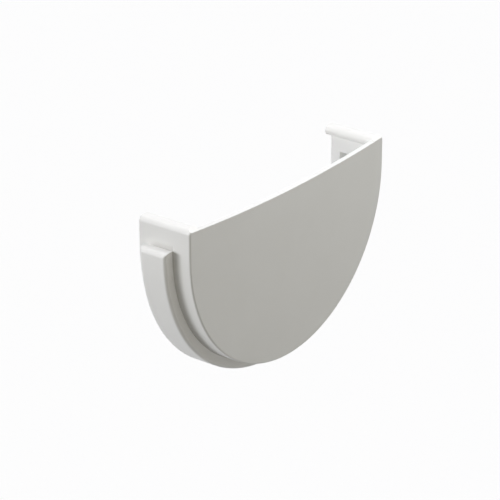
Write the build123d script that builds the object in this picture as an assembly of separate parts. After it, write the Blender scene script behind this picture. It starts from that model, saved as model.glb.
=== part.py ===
"""A push-on end cap for a half-round rain gutter, moulded in one piece.

Millimetres. X runs across the gutter, Y out of the socket, and Z up. The
origin is on the plate's inner face, where the gutter's end stops, at the
centre of the half round.
"""

import os
from math import hypot, radians, tan

from build123d import *

# Overall shape of the plate and the sleeve
cap_width = 126.0          # across the outside of the sleeve
leg_height = 11.6          # straight side above the half round, to the plate's corner
socket_depth = 22.65       # from the plate's inner face to the mouth
plate_thickness = 2.15
wall = 1.8                 # wall of the sleeve
top_sag = 2.75             # dip of the plate's top edge at the middle
rim_round = 0.65           # rounding round the plate's outer face
mouth_round = 0.2          # rounding of the edges at the mouth

# Bead along the top of each side, that hooks over the gutter's rim
bead_rise = 0.9            # crest above the plate's corner
bead_reach = 4.55          # nose inwards from the wall's inner face
bead_round = 2.2           # rounding of the crest and of the nose
bead_slope = 24.0          # degrees that the underside falls towards the wall
ramp_slope = 27.0          # degrees that the crest falls to the plate's outer face

# Raised band round the sleeve, hollow for the seal
band_height = 4.5          # above the outside of the sleeve
band_start = 6.35          # from the plate's inner face
band_width = 12.75
band_leg = 2.1             # straight side above the half round, to its top ends
band_edge_round = 1.5      # along its front and back edges
band_end_round = 2.0       # at its top ends
band_end_share = 0.95      # of the straight side, that this rounding may take at most
channel_skin = 1.3         # round the outside of the seal's channel
channel_side_wall = 1.0    # in front of the channel and behind it
channel_end_wall = 1.6     # over the channel's top ends

# Worked out from the sizes above
outer_radius = cap_width / 2
inner_radius = outer_radius - wall
crest_height = leg_height + bead_rise
crest_round = min(bead_round, (wall + bead_reach) / 2)
crest_centre_height = crest_height - crest_round
nose_x = inner_radius - bead_reach
nose_centre_x = nose_x + crest_round
dip_radius = (outer_radius**2 + top_sag**2) / (2 * top_sag)
ramp_fall = (outer_radius + nose_x) / 2 / dip_radius  # of the plate's edge, along the bead's width
band_end = band_start + band_width
end_round = min(band_end_round, band_end_share * band_leg)
overshoot = 1.0            # how far a cut runs past what it cuts


def between(face: Sketch | Face, start: float, end: float) -> Part:
    """Makes a flat shape, drawn across the gutter, solid from one depth to another."""
    return extrude(Plane.XZ.offset(-start) * face, amount=start - end)


def half_round(radius: float, top: float) -> Face:
    """Draws a half round with straight sides up to a height."""
    bowl = ThreePointArc((-radius, 0), (0, -radius), (radius, 0))
    sides = Polyline((radius, 0), (radius, top), (-radius, top), (-radius, 0))
    return make_face([bowl, *sides.edges()])


def crest_arc(x: float, start: float, size: float) -> Edge:
    """Draws an arc of the bead's rounding about a centre at this x."""
    return CenterArc((x, crest_centre_height), crest_round, start, size).edge()


def right_bead() -> Face:
    """Draws the right bead: a flat crest, a round nose and a sloping underside."""
    outside = crest_arc(outer_radius - crest_round, 0, 90)
    nose = crest_arc(nose_centre_x, 90, 180 - bead_slope)
    underside_start = nose @ 1
    foot = underside_start.Y - (inner_radius - underside_start.X) * tan(radians(bead_slope))
    crest = Line(outside @ 1, nose @ 0)
    rest = Polyline(underside_start, (inner_radius, foot), (outer_radius, foot), outside @ 0)
    return make_face([outside, crest.edge(), nose, *rest.edges()])


def beads() -> Sketch:
    """Draws both beads."""
    right = right_bead()
    return Sketch() + right + mirror(right, about=Plane.YZ)


def plate() -> Part:
    """Makes the plate, with its edge rounded and its top dipping between the beads."""
    outline = Sketch() + half_round(outer_radius, crest_height)
    outline = fillet(outline.vertices().sort_by(Axis.Y)[-2:], crest_round)
    body = between(outline, -plate_thickness, 0)
    body = fillet(body.faces().sort_by(Axis.Y)[0].edges(), rim_round)

    left, right = (-outer_radius, leg_height), (outer_radius, leg_height)
    dip = ThreePointArc(left, (0, leg_height - top_sag), right)
    roof = crest_height + overshoot
    frame = Polyline(right, (outer_radius, roof), (-outer_radius, roof), left)
    above = Sketch() + make_face([dip.edge(), *frame.edges()])
    return body - between(above - beads(), -plate_thickness - overshoot, overshoot)


def sleeve() -> Part:
    """Makes the sleeve's wall with its two beads, its edges rounded at the mouth."""
    ring = Sketch() + half_round(outer_radius, crest_centre_height)
    ring -= half_round(inner_radius, crest_height)
    body = between(ring + beads(), 0, socket_depth)
    return fillet(body.faces().sort_by(Axis.Y)[-1].edges(), mouth_round)


def band() -> Part:
    """Makes the band as a bar bent round the sleeve, with its long edges and its ends rounded."""
    outline = Sketch() + half_round(outer_radius + band_height, band_leg)
    bar = between(outline, band_start, band_end)
    faces = bar.faces().sort_by(Axis.Y)
    long_edges = [edge for face in (faces[0], faces[-1]) for edge in face.edges().sort_by(Axis.Z)[:-1]]
    bar = fillet(long_edges, band_edge_round)

    rounded = fillet(outline.vertices().sort_by(Axis.Y)[-2:], end_round)
    opening = half_round(inner_radius, crest_height)
    return bar & between(rounded - opening, band_start, band_end)


def channel() -> Part:
    """Makes the space inside the band that holds the seal."""
    shape = half_round(outer_radius + band_height - channel_skin, band_leg - channel_end_wall)
    return between(shape, band_start + channel_side_wall, band_end - channel_side_wall)


def right_ramp() -> Part:
    """Makes the wedge over the right bead's front end, which slopes down to the plate's edge."""
    width = wall + bead_reach + overshoot
    foot = leg_height + overshoot * ramp_fall
    rise = bead_rise + width * ramp_fall
    reach = rise / tan(radians(ramp_slope))
    front = -plate_thickness
    side = Polyline((front, foot), (front + reach, foot + rise), (front, foot + rise), close=True)
    place = Plane.YZ.offset(outer_radius + overshoot)
    return extrude(place * make_face(side), amount=hypot(width, width * ramp_fall), dir=(-1, 0, -ramp_fall))


def ramps() -> Part:
    """Makes the wedges over both beads' front ends."""
    right = right_ramp()
    return right + mirror(right, about=Plane.YZ)


end_cap = plate() + sleeve() + band() - channel() - ramps()
end_cap.label = "end_cap"

os.makedirs("parts", exist_ok=True)
export_step(end_cap, "parts/end_cap.step")
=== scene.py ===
"""A moulded end cap for a half-round rain gutter, dressed and set in a plain pale studio.

Metres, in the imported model's own frame: X runs across the gutter, Y out of
the socket and along the gutter, and Z up. The origin is on the plate's inner
face, at the centre of the half round.
"""

import logging
from dataclasses import dataclass
from enum import Enum
from math import cos, pi, radians, sin, sqrt, tan

import bpy
import numpy as np
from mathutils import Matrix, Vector


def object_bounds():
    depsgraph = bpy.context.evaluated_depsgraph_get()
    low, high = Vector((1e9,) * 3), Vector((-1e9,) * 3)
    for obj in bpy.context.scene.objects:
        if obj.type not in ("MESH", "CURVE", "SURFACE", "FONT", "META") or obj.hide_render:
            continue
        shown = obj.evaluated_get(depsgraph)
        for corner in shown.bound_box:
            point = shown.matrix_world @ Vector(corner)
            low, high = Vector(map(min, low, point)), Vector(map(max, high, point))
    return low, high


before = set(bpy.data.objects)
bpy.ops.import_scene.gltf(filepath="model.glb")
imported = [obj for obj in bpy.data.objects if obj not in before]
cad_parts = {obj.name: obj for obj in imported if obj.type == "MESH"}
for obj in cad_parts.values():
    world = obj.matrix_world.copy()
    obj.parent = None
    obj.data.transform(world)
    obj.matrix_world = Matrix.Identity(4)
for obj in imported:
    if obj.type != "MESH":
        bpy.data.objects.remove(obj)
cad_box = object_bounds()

log = logging.getLogger("end_cap")

Colour = tuple[float, float, float]
Point = tuple[float, float, float]


class Ray(Enum):
    """The kinds of ray that see the white studio instead of the light it gives."""

    CAMERA = "Is Camera Ray"
    GLOSSY = "Is Glossy Ray"
    TRANSMISSION = "Is Transmission Ray"


class Sheet:
    """Lays out and joins the nodes of one shader tree.

    Attributes:
        column: the width on the sheet that each node gets.
        middle_start: where the middle range of a noise starts.
        middle_end: where it ends.
    """

    column: int = 220
    middle_start: float = 0.3
    middle_end: float = 0.7

    def __init__(self, tree: bpy.types.NodeTree) -> None:
        """Empties the tree.

        Args:
            tree: the tree of a material, a world or a node group.
        """
        self.tree = tree
        tree.nodes.clear()

    def add(self, kind: str, **settings: object) -> bpy.types.Node:
        """Adds a node.

        Args:
            kind: the node's Blender type.
            settings: the node's own properties.

        Returns:
            The new node.
        """
        node = self.tree.nodes.new(kind)
        node.location = (self.column * len(self.tree.nodes), 0)
        for name, value in settings.items():
            setattr(node, name, value)
        return node

    def feed(self, node: bpy.types.Node, **values: object) -> bpy.types.Node:
        """Gives a node's inputs their links or values.

        Args:
            node: the node that takes them.
            values: a socket or a plain value for each input, by the input's
                name in lower case with its spaces as underscores, or by _0, _1
                and so on for its place.

        Returns:
            The same node.
        """
        by_name = {
            socket.name.lower().replace(" ", "_"): socket for socket in reversed(node.inputs)
        }
        by_name |= {f"_{place}": socket for place, socket in enumerate(node.inputs)}
        for name, value in values.items():
            if isinstance(value, bpy.types.NodeSocket):
                self.tree.links.new(value, by_name[name])
            else:
                by_name[name].default_value = value
        return node

    def math(self, operation: str, first: object, second: object = 0.0) -> bpy.types.NodeSocket:
        """Works out one sum of two numbers.

        Args:
            operation: the Math node's operation.
            first: a socket or a number.
            second: a socket or a number.

        Returns:
            The socket that gives the result.
        """
        node = self.add("ShaderNodeMath", operation=operation)
        return self.feed(node, _0=first, _1=second).outputs[0]

    def length(self, first: object, second: object, third: object) -> bpy.types.NodeSocket:
        """Works out how long the vector with these three parts is.

        Args:
            first: a socket or a number.
            second: a socket or a number.
            third: a socket or a number.

        Returns:
            The socket that gives the length.
        """
        vector = self.feed(self.add("ShaderNodeCombineXYZ"), _0=first, _1=second, _2=third).outputs[0]
        node = self.add("ShaderNodeVectorMath", operation="LENGTH")
        return self.feed(node, _0=vector).outputs["Value"]

    def blend(self, factor: object, first: object, second: object) -> bpy.types.NodeSocket:
        """Mixes two colours.

        Args:
            factor: a socket or a number, 0 for the first colour.
            first: the colour at 0, as a socket or as three numbers.
            second: the colour at 1, as a socket or as three numbers.

        Returns:
            The socket that gives the mixed colour.
        """
        node = self.add("ShaderNodeMix", data_type="RGBA")
        inputs = {socket.identifier: socket for socket in node.inputs}
        for name, value in (("Factor_Float", factor), ("A_Color", first), ("B_Color", second)):
            if isinstance(value, bpy.types.NodeSocket):
                self.tree.links.new(value, inputs[name])
            else:
                inputs[name].default_value = value if name == "Factor_Float" else (*value, 1.0)
        return next(socket for socket in node.outputs if socket.identifier == "Result_Color")

    def share(self, distance: bpy.types.NodeSocket, reach: float) -> bpy.types.NodeSocket:
        """Works out a distance as a share of a reach, with none below 0.

        Args:
            distance: the socket that gives the distance.
            reach: the distance that counts as 1.

        Returns:
            The socket that gives the share.
        """
        return self.math("MAXIMUM", self.math("DIVIDE", distance, reach), 0.0)

    def rays(self, *kinds: Ray) -> bpy.types.NodeSocket:
        """Tells whether the light path is of one of these kinds.

        Args:
            kinds: the kinds of ray.

        Returns:
            The socket that gives 1 for them and 0 for all others.
        """
        path = self.add("ShaderNodeLightPath").outputs
        found = path[kinds[0].value]
        for kind in kinds[1:]:
            found = self.math("MAXIMUM", found, path[kind.value])
        return found

    def fade(self, distance: bpy.types.NodeSocket, near: float, far: float) -> bpy.types.NodeSocket:
        """Turns a distance into a soft mask.

        Args:
            distance: the socket that gives the distance.
            near: where the mask is still 1.
            far: where it has come down to 0.

        Returns:
            The socket that gives the mask.
        """
        node = self.add("ShaderNodeMapRange", interpolation_type="SMOOTHSTEP", clamp=True)
        return self.feed(node, _0=distance, _1=near, _2=far, _3=1.0, _4=0.0).outputs[0]

    def spread(self, value: bpy.types.NodeSocket, low: float, high: float) -> bpy.types.NodeSocket:
        """Stretches a noise's middle range over a new range.

        Args:
            value: a socket that runs from 0 to 1.
            low: the result at the start of the middle range and under it.
            high: the result at its end and over it.

        Returns:
            The socket that gives the result.
        """
        node = self.add("ShaderNodeMapRange", clamp=True)
        self.feed(node, _0=value, _1=self.middle_start, _2=self.middle_end, _3=low, _4=high)
        return node.outputs[0]


def new_group(name: str, inputs: dict[str, float | None], outputs: list[str]) -> bpy.types.NodeTree:
    """Makes an empty shader node group with its sockets.

    Args:
        name: the group's name.
        inputs: each input's name and default, where None stands for a vector.
        outputs: the names of the outputs, which are numbers.

    Returns:
        The group.
    """
    group = bpy.data.node_groups.new(name, "ShaderNodeTree")
    for title, default in inputs.items():
        kind = "NodeSocketVector" if default is None else "NodeSocketFloat"
        socket = group.interface.new_socket(title, in_out="INPUT", socket_type=kind)
        if default is not None:
            socket.default_value = default
    for title in outputs:
        group.interface.new_socket(title, in_out="OUTPUT", socket_type="NodeSocketFloat")
    return group


@dataclass(frozen=True)
class SkinTexture:
    """The fine skin that a mould or a roller leaves on a surface.

    The grain is a noise of small even bumps. The mottle is a slower noise
    that is bent, so that its patches have no straight edges.

    Attributes:
        grain_size: how far apart the bumps are where a material says nothing.
        mottle_size: how wide the patches are where a material says nothing.
        grain_detail: how many finer layers the bumps have.
        mottle_detail: how many finer layers the patches have.
        mottle_roughness: how much those layers count.
        mottle_bend: how far the patches are bent.
    """

    grain_size: float = 0.001
    mottle_size: float = 0.02
    grain_detail: float = 2.0
    mottle_detail: float = 3.0
    mottle_roughness: float = 0.45
    mottle_bend: float = 0.6

    def make(self) -> bpy.types.NodeTree:
        """Makes the skin's node group.

        Returns:
            The group, with a Height for bumps and a Mottle from 0 to 1.
        """
        sizes = {"Vector": None, "Grain Size": self.grain_size, "Mottle Size": self.mottle_size}
        group = new_group("skin_texture", sizes, ["Height", "Mottle"])
        sheet = Sheet(group)
        given = sheet.add("NodeGroupInput").outputs
        place = given["Vector"]
        grain = sheet.add("ShaderNodeTexNoise")
        bumps = sheet.math("DIVIDE", 1.0, given["Grain Size"])
        sheet.feed(grain, vector=place, scale=bumps, detail=self.grain_detail)
        mottle = sheet.add("ShaderNodeTexNoise")
        patches = sheet.math("DIVIDE", 1.0, given["Mottle Size"])
        sheet.feed(
            mottle,
            vector=place,
            scale=patches,
            detail=self.mottle_detail,
            roughness=self.mottle_roughness,
            distortion=self.mottle_bend,
        )
        result = sheet.add("NodeGroupOutput")
        sheet.feed(result, height=grain.outputs[0], mottle=mottle.outputs[0])
        return group


@dataclass(frozen=True)
class MouldForm:
    """The moulding's sizes, by which its plastic places its painted shade along the rim and in the
    creases.

    Attributes:
        radius: of the sleeve's outside.
        front: the plate's outer face.
        band_front: the band's front face.
        band_back: the band's back face.
        band_top: the band's top ends.
        band_height: the band's outside, out from the sleeve's.
        band_round: the rounding along its edges.
        low_start: how far below the middle the rim's and the lip's shades
            start to die away, on their way to the bottom.
        rim_reach: how far the rim's shade goes.
        lip_reach: how far the shade along the band's front edge goes.
        root_reach: how far the shade in front of the band goes.
        face_reach: how far it goes up the band's faces.
        top_reach: how softly it ends at the band's top.
        ledge_reach: how far the shade over the band's top ends goes.
        line_core: how far the rim's and the lip's shades stay at their most.
        root_core: the share of its reach over which the root's shade does.
    """

    radius: float = 0.063
    front: float = -0.00215
    band_front: float = 0.00635
    band_back: float = 0.0191
    band_top: float = 0.0021
    band_height: float = 0.0045
    band_round: float = 0.0015
    low_start: float = 0.03
    rim_reach: float = 0.0009
    lip_reach: float = 0.0009
    root_reach: float = 0.005
    face_reach: float = 0.0003
    top_reach: float = 0.0018
    ledge_reach: float = 0.003
    line_core: float = 0.0002
    root_core: float = 0.26

    def edge_shade(self) -> bpy.types.NodeTree:
        """Makes the masks of painted shade along the rim, the band's front lip and the creases beside
        it.

        The radius of a point is its distance from the middle of the half
        round, or from the middle plane above that. The rim is where the
        radius is the sleeve's and the depth is the plate's outer face, and
        the lip is the middle of the rounding along the band's front; both
        get a painted dark line where the rounded edges fall into shade. The
        root and the ledge are where the radius is the sleeve's, in front of
        the band and over its top ends: the root is a painted shadow that the
        band casts on the sleeve, and the ledge is painted shade in the corner
        over the band's top ends. Each distance counts as a share of how far
        the painted shade goes that way.

        Returns:
            The group, with a Rim, a Lip, a Root and a Ledge from 0 to 1.
        """
        group = new_group("edge_shade", {"Vector": None}, ["Rim", "Lip", "Root", "Ledge"])
        sheet = Sheet(group)
        place = sheet.add("NodeGroupInput").outputs["Vector"]
        x, y, z = sheet.feed(sheet.add("ShaderNodeSeparateXYZ"), vector=place).outputs
        radius = sheet.length(x, sheet.math("MINIMUM", z, 0.0), 0.0)
        out = sheet.math("SUBTRACT", radius, self.radius)
        low = sheet.share(sheet.math("SUBTRACT", -self.low_start, z), self.radius - self.low_start)
        low = sheet.math("MULTIPLY", low, self.rim_reach)
        # Painted shade: a dark line along the plate's rim, fading out towards the bottom.
        rim = sheet.length(out, sheet.math("SUBTRACT", y, self.front), low)

        # The middle of a quarter round lies this far in from both its faces.
        inset = self.band_round * (1 - sqrt(0.5))
        # Painted shade: a dark line along the rounding of the band's front edge.
        lip_out = sheet.math("SUBTRACT", out, self.band_height - inset)
        lip = sheet.length(lip_out, sheet.math("SUBTRACT", y, self.band_front + inset), low)

        # Painted shadow: the root is the band's shadow on the sleeve in front of it.
        before = sheet.math("SUBTRACT", self.band_front, y)
        after = sheet.math("SUBTRACT", y, self.band_front)
        above = sheet.math("SUBTRACT", z, self.band_top)
        face = sheet.share(sheet.math("ABSOLUTE", out), self.face_reach)
        ahead, past = sheet.share(before, self.root_reach), sheet.share(after, self.face_reach)
        beside = sheet.math("MAXIMUM", ahead, past)
        top = sheet.math("SUBTRACT", z, self.band_top - self.top_reach / 2)
        root = sheet.length(face, beside, sheet.share(top, self.top_reach))

        # Painted shade: the ledge darkens the corner over the band's top ends, dying away towards
        # their back.
        middle = (self.band_back + self.band_front) / 2
        late = sheet.share(sheet.math("SUBTRACT", y, middle), self.band_back - middle)
        end = sheet.math("MAXIMUM", sheet.share(before, self.face_reach), late)
        ledge = sheet.length(face, sheet.share(above, self.ledge_reach), end)
        sheet.feed(
            sheet.add("NodeGroupOutput"),
            rim=sheet.fade(rim, self.line_core, self.rim_reach),
            lip=sheet.fade(lip, self.line_core, self.lip_reach),
            root=sheet.fade(root, self.root_core, 1.0),
            ledge=sheet.fade(ledge, 0.0, 1.0),
        )
        return group


@dataclass(frozen=True)
class MouldedPlastic:
    """White PVC with the satin skin of a polished mould.

    Attributes:
        colour: the plastic where it is thin and even.
        deep_colour: the warmer tone of the mottle's patches.
        grain_size: how far apart the skin's bumps are.
        grain_depth: how tall they are.
        mottle_size: how wide the patches are.
        smooth: roughness of the glossier patches.
        dull: roughness of the duller patches.
        ior: how strongly it bends light.
        shade: painted shade, a darker colour mixed in along the rim and in the
        creases where shade falls.
        rim_shade: how much of it lies along the rim.
        lip_shade: how much of it lies along the band's front edge.
        root_shade: how much of it lies beside the band.
        ledge_shade: how much of it lies over the band's top ends.
        form: the sizes of what is made of it.
    """

    colour: Colour = (0.86, 0.86, 0.84)
    deep_colour: Colour = (0.852, 0.852, 0.831)
    grain_size: float = 0.0009
    grain_depth: float = 0.000012
    mottle_size: float = 0.016
    smooth: float = 0.44
    dull: float = 0.54
    ior: float = 1.53
    shade: Colour = (0.45, 0.44, 0.41)
    rim_shade: float = 0.48
    lip_shade: float = 0.3
    root_shade: float = 0.78
    ledge_shade: float = 0.5
    form: MouldForm = MouldForm()

    def make(self, skin: bpy.types.NodeTree) -> bpy.types.Material:
        """Makes the material.

        Args:
            skin: the group that gives the grain and the mottle.

        Returns:
            The finished material.
        """
        material = bpy.data.materials.new("white_pvc")
        material.use_nodes = True
        sheet = Sheet(material.node_tree)
        place = sheet.add("ShaderNodeTexCoord").outputs["Object"]
        surface = sheet.add("ShaderNodeGroup", node_tree=skin)
        sheet.feed(surface, vector=place, grain_size=self.grain_size, mottle_size=self.mottle_size)
        mottle = surface.outputs["Mottle"]
        # Painted shade: these masks say where the base colour is darkened for the shade along the
        # rim, the lip and the creases.
        edges = sheet.add("ShaderNodeGroup", node_tree=self.form.edge_shade())
        sheet.feed(edges, vector=place)
        most = {
            "Rim": self.rim_shade,
            "Lip": self.lip_shade,
            "Root": self.root_shade,
            "Ledge": self.ledge_shade,
        }
        rim, lip, root, ledge = (
            sheet.math("MULTIPLY", edges.outputs[name], share) for name, share in most.items()
        )
        painted_line_shade, creases = sheet.math("MAXIMUM", rim, lip), sheet.math("MAXIMUM", root, ledge)
        painted_shade_amount = sheet.math("MAXIMUM", painted_line_shade, creases)
        clean = sheet.blend(sheet.spread(mottle, 0.0, 1.0), self.colour, self.deep_colour)
        bump = sheet.add("ShaderNodeBump")
        sheet.feed(bump, strength=1.0, distance=self.grain_depth, height=surface.outputs["Height"])
        # The base colour mixes in the painted shade colour by those masks.
        plastic = sheet.add("ShaderNodeBsdfPrincipled")
        sheet.feed(
            plastic,
            base_color=sheet.blend(painted_shade_amount, clean, self.shade),
            roughness=sheet.spread(mottle, self.smooth, self.dull),
            normal=bump.outputs[0],
            ior=self.ior,
        )
        sheet.feed(sheet.add("ShaderNodeOutputMaterial"), surface=plastic.outputs[0])
        return material


@dataclass(frozen=True)
class MattePaper:
    """The studio's pale paper.

    Attributes:
        colour: the paper.
        bounce: the darker colour that the soft light meets, so that little
            of it comes up from the paper.
        glow: the share of even white that is seen, which leaves the shadow
            faint.
        white: that white.
        grain_size: how far apart its fibres' bumps are.
        grain_depth: how tall they are.
    """

    colour: Colour = (0.93, 0.93, 0.93)
    bounce: Colour = (0.25, 0.25, 0.25)
    glow: float = 0.83
    white: Colour = (1.0, 1.0, 1.0)
    grain_size: float = 0.0015
    grain_depth: float = 0.00004

    def make(self, skin: bpy.types.NodeTree) -> bpy.types.Material:
        """Makes the material, which can't be seen from below.

        Args:
            skin: the group that gives the grain and the mottle.

        Returns:
            The finished material.
        """
        material = bpy.data.materials.new("matte_paper")
        material.use_nodes = True
        sheet = Sheet(material.node_tree)
        place = sheet.add("ShaderNodeTexCoord").outputs["Object"]
        surface = sheet.add("ShaderNodeGroup", node_tree=skin)
        sheet.feed(surface, vector=place, grain_size=self.grain_size)
        bump = sheet.add("ShaderNodeBump")
        sheet.feed(bump, strength=1.0, distance=self.grain_depth, height=surface.outputs["Height"])
        seen = sheet.rays(*Ray)
        paper = sheet.add("ShaderNodeBsdfDiffuse")
        sheet.feed(paper, color=sheet.blend(seen, self.bounce, self.colour), normal=bump.outputs[0])
        even = sheet.feed(sheet.add("ShaderNodeEmission"), color=(*self.white, 1.0))
        look = sheet.add("ShaderNodeMixShader")
        glow = sheet.math("MULTIPLY", seen, self.glow)
        sheet.feed(look, _0=glow, _1=paper.outputs[0], _2=even.outputs[0])
        clear = sheet.add("ShaderNodeBsdfTransparent")
        choice = sheet.add("ShaderNodeMixShader")
        behind = sheet.add("ShaderNodeNewGeometry").outputs["Backfacing"]
        sheet.feed(choice, _0=behind, _1=look.outputs[0], _2=clear.outputs[0])
        sheet.feed(sheet.add("ShaderNodeOutputMaterial"), surface=choice.outputs[0])
        return material


def grid_piece(name: str, points: np.ndarray) -> bpy.types.Object:
    """Makes a surface from a grid of points.

    Args:
        name: the new object's name.
        points: the grid, as rows by columns by three coordinates. Its faces
            point where the turn from columns to rows does.

    Returns:
        The object, at the origin.
    """
    rows, columns = points.shape[:2]
    index = np.arange(rows * columns).reshape(rows, columns)
    corners = [index[:-1, :-1], index[:-1, 1:], index[1:, 1:], index[1:, :-1]]
    faces = np.stack(corners, axis=-1).reshape(-1, 4)
    mesh = bpy.data.meshes.new(name)
    mesh.from_pydata(points.reshape(-1, 3), [], faces)
    mesh.shade_smooth()
    piece = bpy.data.objects.new(name, mesh)
    bpy.context.scene.collection.objects.link(piece)
    return piece


@dataclass
class EndCap:
    """The moulding: plate, sleeve, beads and band in one piece.

    Attributes:
        node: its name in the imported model.
        finish: the plastic that it is made of.
    """

    node: str = "end_cap"
    finish: MouldedPlastic = MouldedPlastic()

    def dress(self, skin: bpy.types.NodeTree) -> bpy.types.Object:
        """Gives the moulding its plastic.

        Args:
            skin: the group that gives the grain and the mottle.

        Returns:
            The moulding.
        """
        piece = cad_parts[self.node]
        piece.data.materials.clear()
        piece.data.materials.append(self.finish.make(skin))
        return piece


@dataclass
class Floor:
    """The pale paper that the cap stands over.

    Attributes:
        reach: from the middle to each edge.
        gap: from the paper up to the cap's lowest point.
        points: how many points its grid has each way.
        finish: what it is made of.
    """

    reach: float = 12.0
    gap: float = 0.3
    points: int = 5
    finish: MattePaper = MattePaper()

    def build(self) -> bpy.types.Object:
        """Makes the paper: a flat grid over both ways across, at one height.

        Returns:
            The paper, which isn't part of the object.
        """
        across = np.linspace(-self.reach, self.reach, self.points)
        x, y = np.meshgrid(across, across)
        height = cad_box[0].z - self.gap
        paper = grid_piece("paper_floor", np.dstack([x, y, np.full_like(x, height)]))
        return paper

    def dress(self, paper: bpy.types.Object, skin: bpy.types.NodeTree) -> None:
        """Gives the paper its finish.

        Args:
            paper: the paper.
            skin: the group that gives the grain and the mottle.
        """
        paper.data.materials.append(self.finish.make(skin))


def direction(azimuth: float, elevation: float) -> Vector:
    """Gives the way towards a point round the cap.

    Args:
        azimuth: degrees, 0 on the side of the plate's outer face and 90 on
            the right.
        elevation: degrees above the floor.

    Returns:
        The unit vector towards it.
    """
    turn, rise = radians(azimuth), radians(elevation)
    return Vector((sin(turn) * cos(rise), -cos(turn) * cos(rise), sin(rise)))


class LampKind(Enum):
    """How far a lamp is."""

    FAR = "SUN"
    NEAR = "AREA"


@dataclass(frozen=True)
class SoftLamp:
    """A broad soft lamp that points at the cap.

    Attributes:
        name: what it is called.
        azimuth: the side that it stands on, in degrees.
        elevation: how high it stands, in degrees.
        strength: its light on a surface that faces it.
        colour: its tint.
        kind: far, with the same light everywhere, or near.
        spread: how wide a far lamp looks from the cap, in degrees.
        distance: of a near lamp from the cap.
        size: of a near lamp, across its disc.
    """

    name: str
    azimuth: float
    elevation: float
    strength: float
    colour: Colour = (1.0, 1.0, 1.0)
    kind: LampKind = LampKind.FAR
    spread: float = 40.0
    distance: float = 0.4
    size: float = 0.25

    def hang(self) -> None:
        """Puts the lamp in the scene."""
        lamp = bpy.data.lights.new(self.name, self.kind.value)
        lamp.color = self.colour
        if self.kind is LampKind.FAR:
            lamp.energy = self.strength
            lamp.angle = radians(self.spread)
        else:
            lamp.shape = "DISK"
            lamp.size = self.size
            # A disc's light falls with the square of the distance.
            lamp.energy = self.strength * pi * self.distance**2
        holder = bpy.data.objects.new(self.name, lamp)
        holder.rotation_mode = "QUATERNION"
        towards = direction(self.azimuth, self.elevation)
        holder.location = towards * self.distance
        holder.rotation_quaternion = (-towards).to_track_quat("-Z", "Y")
        holder.visible_camera = False
        bpy.context.scene.collection.objects.link(holder)


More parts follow.
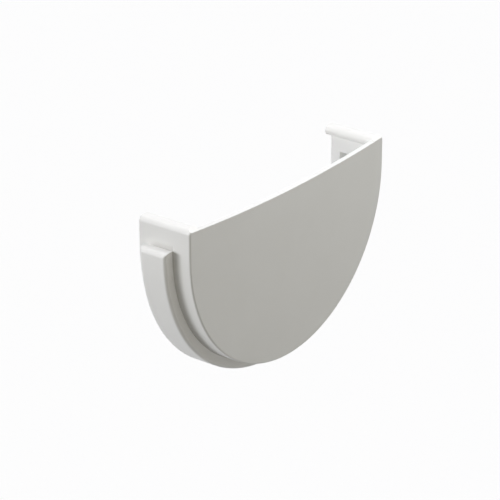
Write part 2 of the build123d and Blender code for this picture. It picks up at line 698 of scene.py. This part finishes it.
@dataclass
class Studio:
    """The light round the cap.

    Attributes:
        lamps: the soft lamps.
        sky: the even light from all round.
        white: the white that is seen all round.
    """

    lamps: tuple[SoftLamp, ...] = (
        SoftLamp("overhead", azimuth=0, elevation=90, strength=1.45, colour=(0.97, 0.969, 1.0)),
        SoftLamp(
            "side_left", azimuth=-115, elevation=5, strength=0.4,
            colour=(0.936, 0.973, 1.0), spread=25,
        ),
        SoftLamp(
            "back_left", azimuth=-130, elevation=5, strength=1.31,
            colour=(0.981, 0.979, 1.0), spread=25,
        ),
        SoftLamp(
            "far_left", azimuth=-145, elevation=12, strength=0.42,
            colour=(0.949, 0.925, 1.0), spread=25,
        ),
        SoftLamp(
            "left", azimuth=-80, elevation=5, strength=0.113,
            colour=(0.827, 1.0, 0.856), spread=30,
        ),
        SoftLamp("front_left", azimuth=-45, elevation=10, strength=0.51, colour=(1.0, 0.915, 0.777)),
        SoftLamp(
            "front", azimuth=5, elevation=15, strength=0.12,
            colour=(1.0, 0.907, 0.605), spread=30,
        ),
        SoftLamp("front_right", azimuth=45, elevation=50, strength=0.134, colour=(0.818, 1.0, 0.894)),
        SoftLamp("right", azimuth=90, elevation=50, strength=1.15, colour=(0.983, 0.972, 1.0)),
        SoftLamp("back", azimuth=180, elevation=50, strength=0.2, colour=(0.868, 0.865, 1.0)),
        SoftLamp(
            "near_right", azimuth=60, elevation=15, strength=0.42,
            colour=(0.955, 0.981, 0.98), kind=LampKind.NEAR, distance=0.25, size=0.15,
        ),
        SoftLamp(
            "near_top", azimuth=0, elevation=60, strength=0.58,
            colour=(0.985, 0.967, 0.965), kind=LampKind.NEAR, distance=0.22, size=0.132,
        ),
    )
    sky: float = 0.03
    white: float = 1.0

    def light(self) -> None:
        """Hangs the lamps and lights the room."""
        for lamp in self.lamps:
            lamp.hang()
        world = bpy.data.worlds.new("pale_room")
        world.use_nodes = True
        bpy.context.scene.world = world
        sheet = Sheet(world.node_tree)
        white = sheet.feed(sheet.add("ShaderNodeBackground"), strength=self.white)
        dim = sheet.feed(sheet.add("ShaderNodeBackground"), strength=self.sky)
        for background in (white, dim):
            sheet.feed(background, color=(1.0, 1.0, 1.0, 1.0))
        choice = sheet.add("ShaderNodeMixShader")
        sheet.feed(choice, _0=sheet.rays(*Ray), _1=dim.outputs[0], _2=white.outputs[0])
        sheet.feed(sheet.add("ShaderNodeOutputWorld"), surface=choice.outputs[0])
        bpy.context.scene.view_settings.view_transform = "Standard"


@dataclass
class PhotoCamera:
    """The camera, where the photograph was taken from.

    Attributes:
        aim: the point of the plate's inner face in the middle of the picture.
        azimuth: the side that it stands on, in degrees.
        elevation: how high it stands, in degrees.
        distance: from the aim.
        field_of_view: degrees across the square picture.
        nearest: how near it can see.
        farthest: how far it can see.
    """

    aim: Point = (-0.02354, 0.0, -0.00947)
    azimuth: float = -52.36492
    elevation: float = 23.96307
    distance: float = 0.95037
    field_of_view: float = 11.66873
    nearest: float = 0.05
    farthest: float = 50.0

    def place(self) -> None:
        """Puts the camera in the scene and makes it the one in use."""
        lens = bpy.data.cameras.new("photo_camera")
        lens.lens = lens.sensor_width / 2 / tan(radians(self.field_of_view) / 2)
        lens.clip_start, lens.clip_end = self.nearest, self.farthest
        holder = bpy.data.objects.new("photo_camera", lens)
        back = direction(self.azimuth, self.elevation)
        holder.location = Vector(self.aim) + back * self.distance
        holder.rotation_mode = "QUATERNION"
        holder.rotation_quaternion = (-back).to_track_quat("-Z", "Y")
        bpy.context.scene.collection.objects.link(holder)
        bpy.context.scene.camera = holder


def main() -> None:
    """Dresses the cap and sets up the studio round it."""
    logging.basicConfig(level=logging.INFO, format="%(name)s: %(message)s")
    PhotoCamera().place()
    Studio().light()
    skin = SkinTexture().make()
    cap = EndCap()
    piece = cap.dress(skin)
    log.info("dressed %s, %d faces", piece.name, len(piece.data.polygons))
    floor = Floor()
    paper = floor.build()
    floor.dress(paper, skin)
    log.info("laid %s, %d faces", paper.name, len(paper.data.polygons))


if __name__ == "__main__":
    main()
